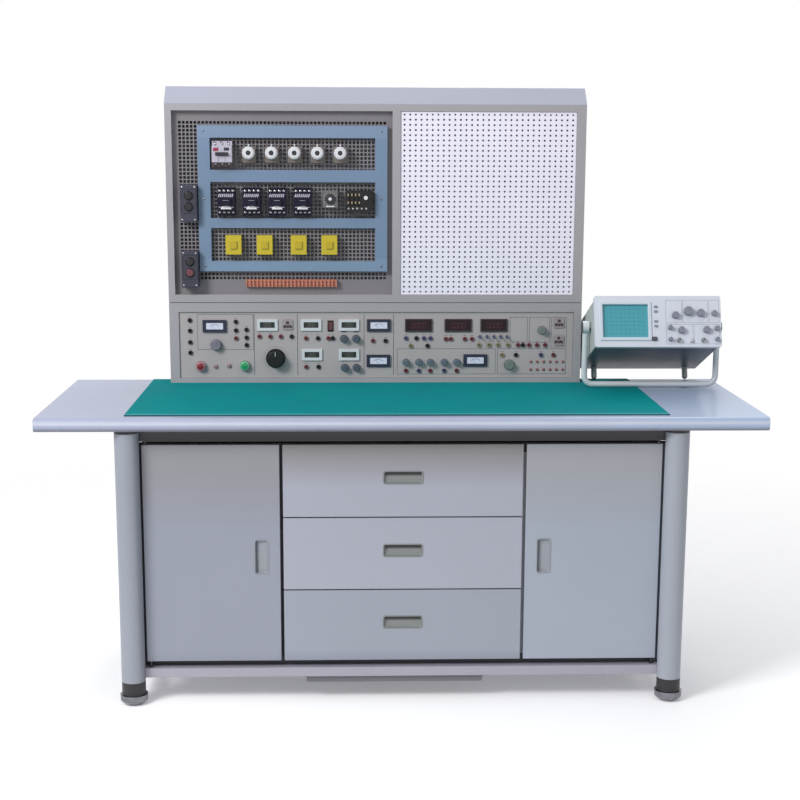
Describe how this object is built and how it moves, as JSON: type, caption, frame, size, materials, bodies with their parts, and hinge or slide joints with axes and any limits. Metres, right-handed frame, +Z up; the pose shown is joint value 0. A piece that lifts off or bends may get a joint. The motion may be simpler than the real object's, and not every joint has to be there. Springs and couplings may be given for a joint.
{
  "type": "electrical training bench",
  "caption": "Classroom electrical training bench: a steel-legged table with cupboards and drawers, a hooded console of meters, sockets and relays on a mesh bay, and an oscilloscope beside it.",
  "frame": {"origin": "centre of the whole bench's footprint, on the floor under the levelling feet", "axes": "+X along the worktop to the right seen from the front, +Y from the front to the back, +Z up"},
  "size_m": [1.8, 0.757, 1.548],
  "materials": {
    "worktop_laminate": "satin",
    "green_mat": "smooth",
    "leg_paint": "satin",
    "black_fittings": "moulded",
    "chrome_feet": "polished",
    "frame_paint": "satin",
    "cabinet_board": "laminated board",
    "bright_steel": "drawn",
    "console_paint": "satin",
    "hood_paint": "satin",
    "mesh_paint": "satin",
    "white_board": "satin",
    "blue_paint": "satin",
    "white_plastic": "moulded",
    "dark_plastic": "moulded",
    "grey_plastic": "moulded",
    "black_plastic": "moulded",
    "yellow_plastic": "moulded",
    "orange_plastic": "moulded",
    "fascia_sheet": "satin",
    "meter_plastic": "moulded",
    "lamp_lens": "clear",
    "red_plastic": "moulded",
    "green_plastic": "moulded",
    "copper_winding": "enamelled",
    "scope_shell": "satin",
    "scope_front": "satin",
    "tube_glass": "clear",
    "handle_coat": "satin"
  },
  "bodies": {
    "bench": {"analog_meters": "meter_plastic", "autotransformer": "copper_winding", "base_frame": "frame_paint", "blue_frame": "blue_paint", "breaker_body": "white_plastic", "cabinet_carcass": "cabinet_board", "console_back": "console_paint", "console_brackets": "frame_paint", "console_hood": "hood_paint", "console_shell": "console_paint", "contactors": "dark_plastic", "digital_meters": "meter_plastic", "door_hinge_pins": "bright_steel", "drawer_runners": "bright_steel", "fascia_plate": "fascia_sheet", "front_frame": "console_paint", "fuse_holders": "white_plastic", "indicator_lamps": "lamp_lens", "leg_columns": "leg_paint", "leg_end_fittings": "black_fittings", "levelling_feet": "chrome_feet", "mains_inlet": "dark_plastic", "mesh_panel": "mesh_paint", "panel_sockets": "black_plastic", "perforated_board": "white_board", "relay_bodies": "grey_plastic", "rubber_mat": "green_mat", "scope_bezel": "scope_front", "scope_case": "scope_shell", "scope_controls": "scope_front", "scope_tube": "tube_glass", "small_knobs": "grey_plastic", "station_housings": "dark_plastic", "terminal_strip": "orange_plastic", "toggle_switches": "dark_plastic", "worktop": "worktop_laminate", "yellow_relays": "yellow_plastic"},
    "left_door": {"left_door": "cabinet_board"},
    "right_door": {"right_door": "cabinet_board"},
    "bottom_drawer": {"bottom_drawer": "cabinet_board"},
    "middle_drawer": {"middle_drawer": "cabinet_board"},
    "top_drawer": {"top_drawer": "cabinet_board"},
    "breaker_lever": {"breaker_lever": "dark_plastic"},
    "timer_dial": {"timer_dial": "black_plastic"},
    "upper_start_button": {"upper_start_button": "black_plastic"},
    "upper_stop_button": {"upper_stop_button": "black_plastic"},
    "lower_start_button": {"lower_start_button": "black_plastic"},
    "lower_stop_button": {"lower_stop_button": "red_plastic"},
    "supply_knob_1": {"supply_knob_1": "grey_plastic"},
    "supply_knob_2": {"supply_knob_2": "grey_plastic"},
    "supply_knob_3": {"supply_knob_3": "grey_plastic"},
    "supply_knob_4": {"supply_knob_4": "grey_plastic"},
    "range_knob": {"range_knob": "grey_plastic"},
    "variac_knob": {"variac_knob": "black_plastic"},
    "red_button": {"red_button": "red_plastic"},
    "green_button": {"green_button": "green_plastic"},
    "power_rocker": {"power_rocker": "dark_plastic"},
    "scope_time_knob": {"scope_time_knob": "scope_front"},
    "scope_power_button": {"scope_power_button": "scope_front"},
    "scope_handle": {"scope_handle": "handle_coat"}
  },
  "joints": [
    {"name": "left_door_hinge", "type": "hinge", "parent": "bench", "child": "left_door", "pos_m": [-0.639, -0.3145, 0.106], "axis": [0, 0, -1], "range_deg": [0, 95]},
    {"name": "right_door_hinge", "type": "hinge", "parent": "bench", "child": "right_door", "pos_m": [0.639, -0.3145, 0.106], "axis": [0, 0, 1], "range_deg": [0, 95]},
    {"name": "bottom_drawer_slide", "type": "slide", "parent": "bench", "child": "bottom_drawer", "axis": [0, -1, 0], "range_m": [0, 0.38]},
    {"name": "middle_drawer_slide", "type": "slide", "parent": "bench", "child": "middle_drawer", "axis": [0, -1, 0], "range_m": [0, 0.38]},
    {"name": "top_drawer_slide", "type": "slide", "parent": "bench", "child": "top_drawer", "axis": [0, -1, 0], "range_m": [0, 0.38]},
    {"name": "timer_dial_turn", "type": "hinge", "parent": "bench", "child": "timer_dial", "pos_m": [-0.184, 0.1745, 1.249], "axis": [0, -1, 0], "range_deg": [-150, 150]},
    {"name": "supply_knob_1_turn", "type": "hinge", "parent": "bench", "child": "supply_knob_1", "pos_m": [-0.148, 0.2025, 0.865], "axis": [0, -1, 0], "range_deg": [-150, 150]},
    {"name": "supply_knob_2_turn", "type": "hinge", "parent": "bench", "child": "supply_knob_2", "pos_m": [-0.114, 0.2025, 0.865], "axis": [0, -1, 0], "range_deg": [-150, 150]},
    {"name": "supply_knob_3_turn", "type": "hinge", "parent": "bench", "child": "supply_knob_3", "pos_m": [-0.146, 0.2025, 0.784], "axis": [0, -1, 0], "range_deg": [-150, 150]},
    {"name": "supply_knob_4_turn", "type": "hinge", "parent": "bench", "child": "supply_knob_4", "pos_m": [-0.113, 0.2025, 0.784], "axis": [0, -1, 0], "range_deg": [-150, 150]},
    {"name": "range_knob_turn", "type": "hinge", "parent": "bench", "child": "range_knob", "pos_m": [-0.502, 0.2025, 0.848], "axis": [0, -1, 0], "range_deg": [-150, 150]},
    {"name": "variac_knob_turn", "type": "hinge", "parent": "bench", "child": "variac_knob", "pos_m": [-0.338, 0.2025, 0.81], "axis": [0, -1, 0], "range_deg": [-150, 150]},
    {"name": "upper_start_press", "type": "slide", "parent": "bench", "child": "upper_start_button", "axis": [0, 1, 0], "range_m": [0, 0.004], "stiffness_N_per_m": 300},
    {"name": "upper_stop_press", "type": "slide", "parent": "bench", "child": "upper_stop_button", "axis": [0, 1, 0], "range_m": [0, 0.004], "stiffness_N_per_m": 300},
    {"name": "lower_start_press", "type": "slide", "parent": "bench", "child": "lower_start_button", "axis": [0, 1, 0], "range_m": [0, 0.004], "stiffness_N_per_m": 300},
    {"name": "lower_stop_press", "type": "slide", "parent": "bench", "child": "lower_stop_button", "axis": [0, 1, 0], "range_m": [0, 0.004], "stiffness_N_per_m": 300},
    {"name": "red_button_press", "type": "slide", "parent": "bench", "child": "red_button", "axis": [0, 1, 0], "range_m": [0, 0.005], "stiffness_N_per_m": 400},
    {"name": "green_button_press", "type": "slide", "parent": "bench", "child": "green_button", "axis": [0, 1, 0], "range_m": [0, 0.005], "stiffness_N_per_m": 400},
    {"name": "power_rocker_tilt", "type": "hinge", "parent": "bench", "child": "power_rocker", "pos_m": [-0.185, 0.2035, 0.9], "axis": [1, 0, 0], "range_deg": [-8, 8]},
    {"name": "breaker_lever_throw", "type": "hinge", "parent": "bench", "child": "breaker_lever", "pos_m": [-0.475, 0.1725, 1.368], "axis": [1, 0, 0], "range_deg": [-20, 20]},
    {"name": "scope_time_knob_turn", "type": "hinge", "parent": "bench", "child": "scope_time_knob", "pos_m": [0.775, 0.03127, 0.9583], "axis": [0, -0.9412, 0.3379], "range_deg": [-150, 150]},
    {"name": "scope_power_press", "type": "slide", "parent": "bench", "child": "scope_power_button", "axis": [0, 0.9412, -0.3379], "range_m": [0, 0.003], "stiffness_N_per_m": 300},
    {"name": "scope_handle_swing", "type": "hinge", "parent": "bench", "child": "scope_handle", "pos_m": [0.6935, 0.10855, 0.90718], "axis": [-1, 0, 0], "range_deg": [0, 180]}
  ]
}
